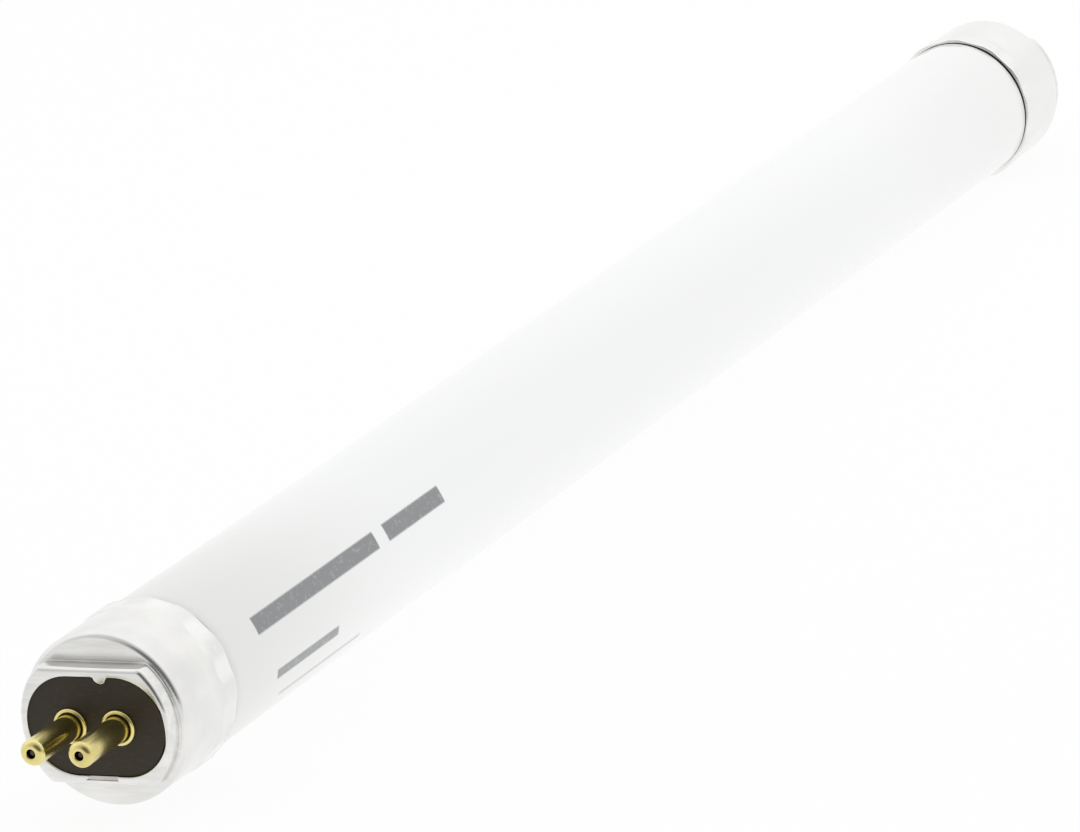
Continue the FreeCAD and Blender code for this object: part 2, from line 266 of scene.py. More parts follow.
class CapSettings(bpy.types.PropertyGroup):
    """Sizes and colours of the drawn caps."""

    sheet: length("Sheet", "Thickness of the drawn sheet", 0.3)
    boss_height: length("Boss height", "Shoulder to front face", 1.85)
    boss_radius: length("Boss radius", "Round sides of the raised face", 7.4)
    half_flats: length("Half flats", "Middle to one flat of the raised face", 5.35)
    flat_corner: length("Flat corner", "Radius where a flat meets a round side", 0.8)
    boss_edge: length("Boss edge", "Radius round the front face", 0.4)
    foot_round: length("Foot rounding", "Hollow radius at the foot of the raised face", 0.15)
    opening_half_height: length("Opening half height", "Middle to the opening's straight edge", 4.55)
    opening_half_width: length("Opening half width", "Middle to the opening's round end", 6.85)
    opening_break: length("Opening edge", "Rounding of the opening's edge", 0.12)
    opening_shift: length("Opening shift", "How far the opening sits to the right of the middle", 0.17)
    tab_radius: length("Tab radius", "Half-round key tab on the opening's edge", 0.62)
    tab_offset: length("Tab offset", "Key tab to the middle", 1.0)
    stake_length: length("Stake length", "Punched mark below the opening", 3.0)
    stake_depth: length("Stake depth", "Depth of the punched mark", 0.12)
    barrel_radius: length("Barrel radius", "Outside of the barrel", 8.0)
    barrel_corner: length("Barrel corner", "Radius where the barrel turns into the shoulder", 0.55)
    rim_radius: length("Rim radius", "Outside of the flared rim", 8.15)
    rim_length: length("Rim length", "Straight stretch of the flared rim", 2.1)
    rim_ramp: length("Rim ramp", "Length over which the barrel widens to the rim", 0.7)
    rim_edge: length("Rim edge", "Rounding of the rim's outer edge", 0.1)
    flat_height: length("Flat height", "Middle of a rim flat above the barrel", 0.02)
    pinch_depth: length("Pinch depth", "Depth of the pinch marks between the rim's flats", 0.07)
    pinch_width: length("Pinch width", "Half width of a pinch mark", 0.17)
    pinch_from_rim: length("Pinch place", "Pinch marks to the open rim", 1.15)
    metal: colour("Aluminium", "Bright drawn aluminium", (0.84, 0.835, 0.815))
    dull_metal: colour("Dull aluminium", "Duller patches of the drawn aluminium", (0.785, 0.78, 0.775))
    worked_metal: colour("Worked aluminium", "Duller aluminium of the pressed end face", (0.755, 0.75, 0.73))
    streaked_metal: colour("Streaked aluminium", "Paler streaks of the end face", (0.845, 0.84, 0.82))
    # Brighter aluminium of the rim's flats, partly burnish and partly a painted highlight; also the painted
    # light on the rear cap.
    burnish_and_highlight_metal: colour("Burnished aluminium", "Flats of the rim, burnished by rolling", (0.885, 0.885, 0.87))
    # Colour of the painted shade in the grooves, the punched mark, under the rim and inside the cap.
    painted_shade: colour("Grime", "Dirt in the grooves", (0.14, 0.13, 0.12))
    roughness: amount("Roughness", "Roughness of the brightest metal", 0.06)
    # Painted light: how far the whole rear cap takes that brighter aluminium.
    rear_painted_light: amount("Rear clean", "How much cleaner the rear cap is", 0.65)
    # Painted shade under the rear rim keeps to one side; its clean side, away from that shade, sits nearer
    # the glass.
    rear_shade_turn: degrees("Rear dirt turn", "Side of the rear cap's rim that has dirt under it", 43)
    rear_closing: length("Rear closing", "How much nearer the rear rim's clean side is to the glass", 0.045)


class PlateSettings(bpy.types.PropertyGroup):
    """Finish of the insulator plates."""

    laminate: colour("Laminate", "Dark bonded laminate", (0.0265, 0.0195, 0.0105))
    speck: colour("Specks", "Paler fibres in the laminate", (0.048, 0.036, 0.021))
    roughness: amount("Roughness", "Roughness of the smoothest laminate", 0.36)


class PinSettings(bpy.types.PropertyGroup):
    """Sizes and colours of the pins."""

    radius: length("Radius", "Outside of a pin", 1.185)
    reach: length("Reach", "Front face to a pin's tip", 7.1)
    tip_round: length("Tip rounding", "Radius of a pin's tip", 0.55)
    hole_radius: length("Tip hole", "Radius of the hole in a pin's tip", 0.425)
    hole_round: length("Hole rounding", "Radius of the hole's edge", 0.1)
    bore_radius: length("Bore", "Inside of a pin", 0.785)
    tip_wall: length("Tip wall", "Thickness of a pin's tip", 0.4)
    tip_taper: length("Tip taper", "Length over which the bore closes in", 0.35)
    collar_radius: length("Collar radius", "Outside of the collar on the plate", 1.65)
    collar_front: length("Collar front", "Front face to the collar's front", 0.23)
    collar_back: length("Collar back", "Depth of the collar's back", 0.17)
    collar_bead: length("Collar bead", "Radius of the bead that forms the collar", 0.23)
    collar_groove: length("Collar groove", "Front face to the groove between a pin and its collar", 0.02)
    shank_radius: length("Shank radius", "Shank through the plate", 1.005)
    rivet_radius: length("Rivet radius", "Rivet head behind the plate", 1.6)
    rivet_front: length("Rivet front", "Depth of the rivet head's front", 1.76)
    rivet_back: length("Rivet back", "Depth of the rivet head's back", 2.04)
    brass: colour("Brass", "Bright drawn brass", (0.83, 0.73, 0.31))
    tarnish: colour("Tarnish", "Browner patches of the brass", (0.64, 0.51, 0.18))
    tarnish_cover: amount("Tarnish cover", "Cover of the brownest patches", 0.6)
    # Colour of the painted shade in the groove round a pin.
    painted_shade: colour("Grime", "Dark film in the groove round a pin", (0.10, 0.07, 0.035))
    roughness: amount("Roughness", "Roughness of the brightest brass", 0.13)


class InsideSettings(bpy.types.PropertyGroup):
    """Finish of the lead-in wires and the cement."""

    # The wire's colour is kept dark, a painted shade for the hole in each pin's tip.
    wire: colour("Wire", "Drawn lead-in wire", (0.12, 0.095, 0.065))
    heated_wire: colour("Heated wire", "Patches of the wire darkened by heat", (0.06, 0.0475, 0.0325))
    wire_roughness: amount("Wire roughness", "Roughness of the brightest wire", 0.28)
    cement: colour("Cement", "Baked cement", (0.20, 0.17, 0.13))
    dark_cement: colour("Dark cement", "Darker grains of the cement", (0.14, 0.119, 0.091))
    cement_roughness: amount("Cement roughness", "Roughness of the smoothest cement", 0.8)


class StudioSettings(bpy.types.PropertyGroup):
    """Camera, floor and light."""

    camera_place: position("Camera place", "Where the camera stands", (-0.58943, -0.29699, 0.18596))
    camera_aim: position("Camera aim", "Point in the middle of the picture", (-0.0043, 0.0058, -0.0042))
    camera_roll: degrees("Camera roll", "Turn of the camera about its line of sight", -7.31)
    camera_lens: number("Lens", "Focal length on a sensor 36 mm wide", 229.68, unit="CAMERA")
    floor_size: length("Floor size", "Side of the floor", 6000.0)
    floor_paper: amount("Floor paper", "Grey of the floor's paper", 0.9)
    floor_white: amount("Floor white", "Share of the floor that shows no shadow", 0.93)
    floor_glow: amount("Floor glow", "Share of the floor that lights the underside evenly", 0.95)
    under_level: brightness("Under light", "Light from the floor on matt surfaces", 1.08)
    front_level: amount("Front floor", "Brightness of the floor in front of the tube, in reflections", 0.86)
    front_start: length("Front floor start", "Where the floor starts to darken, before the cap", 5.0)
    front_fall: length("Front floor fall", "Length over which the floor darkens", 40.0)
    lamp_place: position("Lamp place", "Where the soft lamp over the rear end hangs", (0.13, -0.06, 0.20))
    lamp_size: length("Lamp size", "Side of the soft lamp", 120.0)
    lamp_power: number("Lamp power", "Power of the soft lamp", 0.045, min=0.0, unit="POWER", precision=3)
    sky_level: brightness("Sky level", "Light from all round on matt surfaces", 1.16)
    sky_front: amount("Sky front", "Share of that light that comes from the dim front", 0.62)
    front_way: triple("Front", "Middle of the dim front", (-0.853, -0.442, 0.277), subtype="DIRECTION")
    low_level: amount("Low sky", "Brightness that metal mirrors from near the horizon", 0.985)
    high_level: brightness("High sky", "Brightness that metal mirrors from above", 1.08)
    low_edge: degrees("Low edge", "Height above the horizon at which the sky starts to brighten", 14)
    high_edge: degrees("High edge", "Height at which the sky is brightest", 34)
    dim_level: amount("Dim front", "Brightness that metal mirrors from the front", 0.62)
    dim_core: degrees("Dim core", "Half width of the dim front", 54)
    dim_edge: degrees("Dim edge", "Half width at which the dim front has faded out", 80)
    dark_level: amount("Dark stretch", "Brightness of the dark stretch within the dim front", 0.15)
    dark_core: degrees("Dark core", "Half width of the dark stretch", 26)
    dark_edge: degrees("Dark edge", "Half width at which the dark stretch has faded out", 46)


class Field:
    """One socket of a shader, for use in Python expressions."""

    def __init__(self, shader, socket):
        self.shader = shader
        self.socket = socket

    def __add__(self, other):
        return self.shader.math("ADD", self, other)

    def __sub__(self, other):
        return self.shader.math("SUBTRACT", self, other)

    def __rsub__(self, other):
        return self.shader.math("SUBTRACT", other, self)

    def __mul__(self, other):
        return self.shader.math("MULTIPLY", self, other)

    def __truediv__(self, other):
        return self.shader.math("DIVIDE", self, other)

    def __abs__(self):
        return self.shader.math("ABSOLUTE", self)

    __radd__ = __add__
    __rmul__ = __mul__

    def larger(self, other):
        """The larger of two values."""
        return self.shader.math("MAXIMUM", self, other)

    def rise(self, low, high):
        """Smooth step from 0 at low to 1 at high."""
        ends = {"Value": self, "From Min": low, "From Max": high}
        return self.shader.add("ShaderNodeMapRange", {"interpolation_type": "SMOOTHSTEP"}, ends)

    def within(self, edge, soft):
        """1 below an edge and 0 above it, with a soft stretch on each side of it."""
        return 1 - self.rise(edge - soft, edge + soft)

    def swing(self, size):
        """Factor that goes as far below 1 as above it, from a pattern between 0 and 1."""
        return 1 - size / 2 + size * self


class Shader:
    """Node tree of a finish or of the world."""

    def __init__(self, owner):
        owner.use_nodes = True
        self.tree = owner.node_tree
        self.tree.nodes.clear()

    def add(self, kind, settings, inputs, output=0):
        """New node with its settings, then its sockets' values or links; gives one of its outputs."""
        node = self.tree.nodes.new(kind)
        for name, value in settings.items():
            setattr(node, name, value)
        for name, value in inputs.items():
            if isinstance(value, Field):
                self.tree.links.new(value.socket, node.inputs[name])
            else:
                node.inputs[name].default_value = value
        return Field(self, node.outputs[output]) if node.outputs else None

    def math(self, operation, first, second=0.0):
        """Math node on one or two values."""
        return self.add("ShaderNodeMath", {"operation": operation}, {0: first, 1: second})

    def point(self):
        """Place on the object, in metres."""
        return self.add("ShaderNodeTexCoord", {}, {}, "Object")

    def split(self, vector):
        """The three values of a vector."""
        return [self.add("ShaderNodeSeparateXYZ", {}, {0: vector}, axis) for axis in "XYZ"]

    def paint(self, layer):
        """Values painted on the mesh."""
        return self.add("ShaderNodeAttribute", {"attribute_name": layer}, {}, "Fac")

    def rays(self):
        """Marks of the rays that show a surface in the picture, and of the mirrored ones among them."""
        kinds = ("Is Camera Ray", "Is Glossy Ray", "Is Transmission Ray")
        camera, glossy, through = (self.add("ShaderNodeLightPath", {}, {}, kind) for kind in kinds)
        return camera.larger(glossy).larger(through), glossy

    def noise(self, grain):
        """Pattern over the object, between 0 and 1."""
        scaled = {0: self.point(), 1: grain.along}
        vector = self.add("ShaderNodeVectorMath", {"operation": "MULTIPLY"}, scaled)
        inputs = {"Vector": vector, "Scale": grain.scale, "Detail": grain.detail}
        return self.add("ShaderNodeTexNoise", {}, inputs)

    def blend(self, share, first, second):
        """Colour between two colours."""
        first, second = (c if isinstance(c, Field) else (*c, 1.0) for c in (first, second))
        return self.add("ShaderNodeMix", {"data_type": "RGBA"}, {0: share, 6: first, 7: second}, 2)

    def bump(self, height, depth, strength=1.0):
        """Fine relief, for a surface's normal."""
        return self.add("ShaderNodeBump", {}, {"Height": height, "Distance": depth, "Strength": strength})

    def surface(self, **inputs):
        """Principled surface, from sockets named with underscores for spaces."""
        sockets = {name.replace("_", " "): value for name, value in inputs.items()}
        shader = self.add("ShaderNodeBsdfPrincipled", {}, sockets)
        self.add("ShaderNodeOutputMaterial", {}, {"Surface": shader})


def new_finish(name):
    """Empty material and its shader."""
    material = bpy.data.materials.new(name)
    return material, Shader(material)


def depth_at(x):
    """Depth behind the nearer cap's front face."""
    return -FACE_X - abs(x)


def rear_share(x):
    """0 at the front end, 1 at the rear end."""
    return x.rise(FACE_X / 2, -FACE_X / 2)


def ink_mask(shader, x, y, z, radius):
    """Where the plain bars are printed, on the side of the tube towards minus Y."""
    turn = shader.math("ARCTAN2", 0 - z, 0 - y)
    mask = 0.0
    for bar in INK_BARS:
        along = abs(x - (bar.start + bar.length / 2)).within(bar.length / 2, INK_BLUR)
        across = (abs(turn - bar.turn) * radius).within(bar.height / 2, INK_BLUR)
        mask = (along * across * bar.strength).larger(mask)
    return mask


def coated_glass(settings):
    """White phosphor coat behind clear glossy glass, greyer beside the caps, with plain ink bars."""
    material, shader = new_finish("coated_glass")
    x, y, z = shader.split(shader.point())
    depth = depth_at(x)
    # The glass is drawn greyer beside each cap, with random cloud.
    greying = 1 - depth.rise(CAP_LENGTH, CAP_LENGTH + settings.grey_length)
    # Less of that grey at the rear end: the front end's extra grey is painted shade.
    greying = greying * (1 - settings.rear_glass_light * rear_share(x)) * shader.noise(COAT_CLOUD).swing(COAT_SWING)
    coat = shader.blend(greying, settings.coat, settings.grey_coat)
    # The coat's edge leans past the rim on one side: the dark band there is a painted shadow, elsewhere the
    # bare neck.
    edge = settings.coat_edge + (z - y) / settings.radius * settings.rim_shadow_lean
    bare_and_shadow = (depth - edge).within(CAP_LENGTH, settings.coat_fade)
    # Painted shadow of dark glass beside each rim.
    rim_shadow = settings.rim_shadow * (1 - depth.rise(CAP_LENGTH, CAP_LENGTH + settings.rim_shadow_length))
    coat = shader.blend(bare_and_shadow.larger(rim_shadow), coat, settings.bare_and_shadow)
    fresh_ink = shader.noise(INK_WEAR).rise(*WEAR_SPAN)
    ink = ink_mask(shader, x, y, z, settings.radius) * (LEAST_INK + (1 - LEAST_INK) * fresh_ink)
    shader.surface(
        Base_Color=shader.blend(ink, coat, settings.ink),
        Roughness=settings.roughness + SMEAR_ROUGH * shader.noise(GLASS_SMEAR),
        IOR=1.5,
    )
    return material


def aluminium(settings):
    """Bright drawn aluminium: fine rings round the barrel, a duller pressed end face, painted shade in the
    grooves.
    """
    material, shader = new_finish("aluminium")
    x = shader.split(shader.point())[0]
    depth = depth_at(x)
    foot = settings.boss_height
    barrel = depth.rise(foot, foot + CORNER_SHARE * settings.barrel_corner)
    ledge = depth.rise(foot - settings.foot_round, foot) * (1 - barrel)
    face = 1 - depth.rise(0.0, settings.stake_depth)
    lines = shader.noise(BARREL_RINGS) * barrel + shader.noise(ROLLED_LINES) * (1 - barrel)
    streaks = shader.noise(FACE_STREAKS).rise(*PATCH_SPAN)
    patches = shader.noise(METAL_PATCHES)
    # Painted shade laid on the mesh in the grooves, the punched mark, the rim's edge and inside, broken up by
    # patches.
    painted_shade = shader.paint("painted_shade") * patches.swing(SHADE_SWING)
    # Painted highlight on the rim's flats, partly burnish, and painted light over the whole rear cap.
    burnish_and_highlight = shader.paint("burnish_and_highlight").rise(0.0, 1.0) * patches.rise(*BURNISH_AND_HIGHLIGHT_SPAN)
    painted_light_and_burnish = burnish_and_highlight.larger(settings.rear_painted_light * rear_share(x))
    drawn = shader.blend(patches.rise(*PATCH_SPAN), settings.metal, settings.dull_metal)
    drawn = shader.blend(painted_light_and_burnish, drawn, settings.burnish_and_highlight_metal)
    worked = shader.blend(streaks, settings.worked_metal, settings.streaked_metal)
    metal = shader.blend(barrel, worked, drawn)
    rough = settings.roughness + LINE_ROUGH * lines + PATCH_ROUGH * patches + BARREL_ROUGH * barrel
    rough = rough + FACE_ROUGH * face + LEDGE_ROUGH * ledge + SHADE_ROUGH * painted_shade
    shader.surface(
        Base_Color=shader.blend(painted_shade, metal, settings.painted_shade),
        Metallic=1.0,
        Roughness=rough,
        Normal=shader.bump(lines, depth=0.004 * MM, strength=0.35),
    )
    return material


def laminate(settings):
    """Dark bonded laminate with fine paler fibres."""
    material, shader = new_finish("insulator")
    fibres = shader.noise(FIBRES)
    mottle = shader.noise(MOTTLE)
    specks = fibres.rise(*FIBRE_SPAN) * mottle
    shader.surface(
        Base_Color=shader.blend(specks, settings.laminate, settings.speck),
        Specular_IOR_Level=0.3,
        Roughness=settings.roughness + MOTTLE_ROUGH * mottle,
        Normal=shader.bump(fibres, depth=0.02 * MM, strength=0.5),
    )
    return material


def brass(settings):
    """Bright drawn brass with faint turning lines, browner patches and painted shade in the groove."""
    material, shader = new_finish("brass")
    patches = shader.noise(BRASS_PATCHES)
    lines = shader.noise(TURNING_LINES)
    # Painted shade laid on the mesh in the groove round each pin.
    painted_shade = shader.paint("painted_shade")
    tarnish = patches.rise(*TARNISH_SPAN) * settings.tarnish_cover
    tone = shader.blend(tarnish, settings.brass, settings.tarnish)
    rough = settings.roughness + TARNISH_ROUGH * patches + TURNING_ROUGH * lines + SHADE_ROUGH * painted_shade
    shader.surface(
        Base_Color=shader.blend(painted_shade, tone, settings.painted_shade),
        Metallic=1.0,
        Roughness=rough,
        Normal=shader.bump(lines, depth=0.002 * MM, strength=0.3),
    )
    return material


def lead_wire(settings):
    """Drawn wire, dulled by heat, kept dark as a painted shade in the pins' tip holes."""
    material, shader = new_finish("lead_wire")
    patches = shader.noise(HEAT_PATCHES)
    shader.surface(
        Base_Color=shader.blend(patches, settings.wire, settings.heated_wire),
        Metallic=1.0,
        Roughness=settings.wire_roughness + HEAT_ROUGH * patches,
    )
    return material


def baked_cement(settings):
    """Matt crumbly cement."""
    material, shader = new_finish("cement")
    grains = shader.noise(CEMENT_GRAINS)
    shader.surface(
        Base_Color=shader.blend(grains, settings.cement, settings.dark_cement),
        Roughness=settings.cement_roughness + GRAIN_ROUGH * grains,
        Normal=shader.bump(grains, depth=0.05 * MM),
    )
    return material


def end_point(depth, radius, angle, middle_y=0.0):
    """Point of the front end, from its depth, radius and angle about a line along X."""
    return Vector((FACE_X + depth, middle_y + radius * math.cos(angle), radius * math.sin(angle)))


def placed_at(end, rings):
    """Rings made for the front end, turned half a turn about Z where they are for the rear end."""
    if end == "front":
        return rings
    return [[Vector((-p.x, -p.y, p.z)) for p in ring] for ring in rings]


def loft(name, rings, joined_ends, paint=None):
    """Closed mesh through rings of points; its ends meet each other or are filled.

    The paint holds, for each of its layers, a row of values to each ring.
    """
    form = bmesh.new()
    rows = [[form.verts.new(point) for point in ring] for ring in rings]
    following = rows[1:] + rows[:1] if joined_ends else rows[1:]
    for row, after in zip(rows, following):
        for number, vert in enumerate(row):
            neighbour = (number + 1) % len(row)
            form.faces.new((vert, row[neighbour], after[neighbour], after[number]))
    if not joined_ends:
        form.faces.new(rows[0])
        form.faces.new(rows[-1])
    bmesh.ops.recalc_face_normals(form, faces=form.faces)
    if form.calc_volume(signed=True) < 0:
        bmesh.ops.reverse_faces(form, faces=form.faces)
    mesh = bpy.data.meshes.new(name)
    form.to_mesh(mesh)
    form.free()
    for layer, painted in (paint or {}).items():
        values = [value for row in painted for value in row]
        mesh.attributes.new(layer, "FLOAT", "POINT").data.foreach_set("value", values)
    mesh.shade_smooth()
    mesh.set_sharp_from_angle(angle=SHARP_ANGLE)
    piece = bpy.data.objects.new(name, mesh)
    bpy.context.scene.collection.objects.link(piece)
    return piece


def settle(piece, node, material):
    """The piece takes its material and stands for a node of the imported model."""
    piece.data.materials.append(material)
    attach(piece, BODY)
    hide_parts(node)


def repaint(nodes, material):
    """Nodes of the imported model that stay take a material."""
    for node in nodes:
        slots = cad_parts[node].data.materials
        slots.clear()
        slots.append(material)


def spread(first, last, count):
    """Values at even steps, both ends included."""
    return [first + (last - first) * number / (count - 1) for number in range(count)]


def quarter(count):
    """Angles of a quarter round."""
    return spread(0.0, RIGHT_ANGLE, count)


def turns(count):
    """Angles all round a ring."""
    return spread(0.0, FULL_TURN, count + 1)[:-1]


def arc(depth, radius, size, start, stop, count):
    """Points (depth, radius) of a round about its middle, from one of its sides to another."""
    return [(depth - size * math.sin(a), radius - size * math.cos(a)) for a in spread(start, stop, count)]


def between(first, second, share):
    """Values that lie a share of the way from one row to another."""
    return [a + (b - a) * share for a, b in zip(first, second)]


def s_curve(share):
    """Rise from 0 to 1 that starts and ends level."""
    return share * share * (3 - 2 * share)


def flat_sided_radius(angle, radius, half_flats, corner):
    """Polar radius of a disc with two flats and rounded corners."""
    across, up = abs(math.cos(angle)), abs(math.sin(angle))
    centre_z = half_flats - corner
    centre_y = math.sqrt((radius - corner) ** 2 - centre_z ** 2)
    if up * centre_y <= across * centre_z:
        return radius
    if up * centre_y >= across * half_flats:
        return half_flats / up
    along = centre_y * across + centre_z * up
    return along + math.sqrt(along ** 2 - centre_y ** 2 - centre_z ** 2 + corner ** 2)


def slot_radius(angle, cap):
    """Polar radius of a slot with round ends, the opening without its key tab."""
    across, up = abs(math.cos(angle)), abs(math.sin(angle))
    centre = cap.opening_half_width - cap.opening_half_height
    if up * centre >= across * cap.opening_half_height:
        return cap.opening_half_height / up
    return centre * across + math.sqrt(cap.opening_half_height ** 2 - (centre * up) ** 2)


def opening_radius(angle, cap):
    """Polar radius of the opening, narrowed by the half-round key tab."""
    radius = slot_radius(angle, cap)
    along = cap.opening_half_height * math.sin(angle) - cap.tab_offset * math.cos(angle)
    reach = cap.tab_offset ** 2 + cap.opening_half_height ** 2
    inside = along ** 2 - reach + cap.tab_radius ** 2
    if along > 0 and inside > 0:
        radius = min(radius, along - math.sqrt(inside))
    return radius


def cap_angles(cap):
    """Angles of the cap's rings: even steps, closer at the corners, the tab and the pinch marks."""
    corner = math.asin((cap.half_flats - cap.flat_corner / 2) / cap.boss_radius)
    tab = math.atan2(cap.opening_half_height, -cap.tab_offset)
    corners = (corner, math.pi - corner, math.pi + corner, FULL_TURN - corner)
    places = [(middle, CORNER_CLUSTER) for middle in corners]
    places += [(tab, TAB_CLUSTER)]
    places += [(middle, PINCH_CLUSTER) for middle in turns(RIM_FLATS)]
    angles = turns(CAP_STEPS)
    for middle, cluster in places:
        steps = spread(-cluster.reach, cluster.reach, cluster.count)
        angles += [(middle + math.radians(step)) % FULL_TURN for step in steps]
    kept = []
    for angle in sorted(angles):
        if not kept or angle - kept[-1] > LEAST_STEP:
            kept.append(angle)
    return kept


class CapForm:
    """Rings of one cap, in order along the section of its sheet."""

    def __init__(self, cap, end):
        self.cap = cap
        self.angles = cap_angles(cap)
        # Share of painted shade under the rim: all round the front cap, on one side of the rear cap.
        self.rim_shade_share = [1.0] * len(self.angles)
        if end == "rear":
            self.rim_shade_share = [max(0.0, math.cos(a - cap.rear_shade_turn)) for a in self.angles]
        self.opening = [opening_radius(a, cap) for a in self.angles]
        self.breaks = self.opening_breaks()
        self.rings = []
        self.paint = {"painted_shade": [], "burnish_and_highlight": []}
        self.end_face()
        self.shoulder_and_barrel()
        self.rim()
        self.inside()

    def ring(self, depth, radii, painted_shade=0.0, shift=0.0, burnish_and_highlight=0.0):
        """Adds a ring; all but the shift are single values or one for each angle."""
        count = len(self.angles)
        depths, radii, painted_shades, burnishes_and_highlights = (
            value if isinstance(value, list) else [value] * count for value in (depth, radii, painted_shade, burnish_and_highlight)
        )
        self.rings.append([end_point(d, r, a, -shift) for d, r, a in zip(depths, radii, self.angles)])
        self.paint["painted_shade"].append(painted_shades)
        self.paint["burnish_and_highlight"].append(burnishes_and_highlights)

    def boss(self, inset):
        """Radii of the raised face's outline, moved inwards."""
        cap = self.cap
        corner = cap.flat_corner - inset
        return [
            flat_sided_radius(a, cap.boss_radius - inset, cap.half_flats - inset, corner) for a in self.angles
        ]

    def opening_breaks(self):
        """Rounding of the opening's edge at each angle, which runs out at the key tab's corners."""
        cap = self.cap
        in_tab = [r < slot_radius(a, cap) for a, r in zip(self.angles, self.opening)]
        corners = [a for a, here, after in zip(self.angles, in_tab, in_tab[1:]) if here != after]
        breaks = []
        for angle, radius in zip(self.angles, self.opening):
            distance = radius * min(abs(angle - corner) for corner in corners)
            share = LEAST_BREAK + distance / (BREAK_RUN * cap.opening_break)
            breaks.append(cap.opening_break * min(1.0, share))
        return breaks

    def stake(self, angle, radius):
        """Depth of the punched mark below the opening."""
        reach = abs(radius * math.cos(angle)) - self.cap.stake_length / 2
        if math.sin(angle) > 0 or reach > 0:
            return 0.0
        return self.cap.stake_depth * min(1.0, -reach / self.cap.stake_depth)

    def end_face(self):
        """Opening's edge, front face and the rounded edge of the raised face."""
        cap = self.cap
        edge = cap.boss_edge
        face_edge = self.boss(edge)
        marks = [self.stake(a, r) for a, r in zip(self.angles, self.opening)]
        # Painted shade in the punched mark, as deep as the mark.
        stake_shade = [STAKE_SHADE * mark / cap.stake_depth for mark in marks]
        shift = cap.opening_shift
        self.ring(cap.sheet, self.opening, shift=shift)
        for turn in quarter(count=5):
            depths = [max(b * (1 - math.sin(turn)), m) for b, m in zip(self.breaks, marks)]
            radii = [r + b * (1 - math.cos(turn)) for b, r in zip(self.breaks, self.opening)]
            self.ring(depths, radii, stake_shade, shift)
        self.ring(marks, between(self.opening, face_edge, STAKE_SHARE), stake_shade, shift * (1 - STAKE_SHARE))
        self.ring(0.0, between(self.opening, face_edge, STAKE_END))
        for turn in quarter(count=8):
            self.ring(edge * (1 - math.cos(turn)), self.boss(edge * (1 - math.sin(turn))))

    def shoulder_and_barrel(self):
        """Flank of the raised face, the groove at its foot, the shoulder and the barrel's corner."""
        cap = self.cap
        foot = cap.foot_round
        corner = cap.barrel_corner
        # Painted shade in the groove at the foot of the raised face, heavier along its flats, half of it up
        # its flank.
        flatness = [min(1.0, (cap.boss_radius - r) / cap.flat_corner) for r in self.boss(0.0)]
        groove = [SIDE_SHADE + (GROOVE_SHADE - SIDE_SHADE) * share for share in flatness]
        self.ring(cap.boss_edge + HOLD / 2, self.boss(0.0))
        self.ring(cap.boss_height - 2 * foot, self.boss(0.0), [FLANK_SHARE * g for g in groove])
        for turn in quarter(count=6):
            depth = cap.boss_height - foot + foot * math.sin(turn)
            self.ring(depth, self.boss(-foot * (1 - math.cos(turn))), groove)
        ledge = [cap.barrel_radius - corner] * len(self.angles)
        for share in LEDGE_SHARES:
            self.ring(cap.boss_height, between(self.boss(-foot), ledge, share))
        for turn in quarter(count=8):
            depth = cap.boss_height + corner * (1 - math.cos(turn))
            self.ring(depth, cap.barrel_radius - corner * (1 - math.sin(turn)))
        self.ring(cap.boss_height + corner + HOLD, cap.barrel_radius)

    def rim(self):
        """Ramp and flared rim, with shallow flats round it and pinch marks between them."""
        cap = self.cap
        rim_start = CAP_LENGTH - cap.rim_length
        ramp_start = rim_start - cap.rim_ramp
        pinch = CAP_LENGTH - cap.pinch_from_rim
        for depth in spread(ramp_start - HOLD, rim_start, count=10):
            share = s_curve(min(1.0, max(0.0, (depth - ramp_start) / cap.rim_ramp)))
            self.flattened_ring(depth, cap.barrel_radius + (cap.rim_radius - cap.barrel_radius) * share)
        for step in spread(-PINCH_REACH, PINCH_REACH, count=11):
            self.flattened_ring(pinch + step * cap.pinch_width, cap.rim_radius)
        # The rim's rounded edge gets a painted shadow, strongest at the rim's end.
        for turn in quarter(count=5):
            depth = CAP_LENGTH - cap.rim_edge * (1 - math.sin(turn))
            inset = cap.rim_edge * (1 - math.cos(turn))
            self.flattened_ring(depth, cap.rim_radius, inset, RIM_SHADE * math.sin(turn))

    def flattened_ring(self, depth, radius, inset=0.0, painted_shade=0.0):
        """Ring of the rim, no further out than its flats."""
        cap = self.cap
        apothem = cap.barrel_radius + cap.flat_height
        pitch = FULL_TURN / RIM_FLATS
        radii = []
        # Middles of the rim's flats are marked brighter: partly burnish, partly a painted highlight.
        burnish_and_highlight = []
        for angle in self.angles:
            from_middle = (angle % pitch) - pitch / 2
            from_pinch = pitch / 2 - abs(from_middle)
            sideways = radius * from_pinch
            along = depth - (CAP_LENGTH - cap.pinch_from_rim)
            dent = math.exp(-(sideways ** 2 + along ** 2) / cap.pinch_width ** 2)
            flat = min(radius, apothem / math.cos(from_middle))
            radii.append(flat - inset - cap.pinch_depth * dent)
            burnish_and_highlight.append((radius - flat) / (cap.rim_radius - apothem))
        self.ring(depth, radii, [painted_shade * share for share in self.rim_shade_share], burnish_and_highlight=burnish_and_highlight)

    def inside(self):
        """Inside of the rim, barrel, shoulder and raised face."""
        cap = self.cap
        rim_start = CAP_LENGTH - cap.rim_length
        inner = cap.barrel_radius - cap.sheet
        shoulder = cap.boss_height + cap.sheet
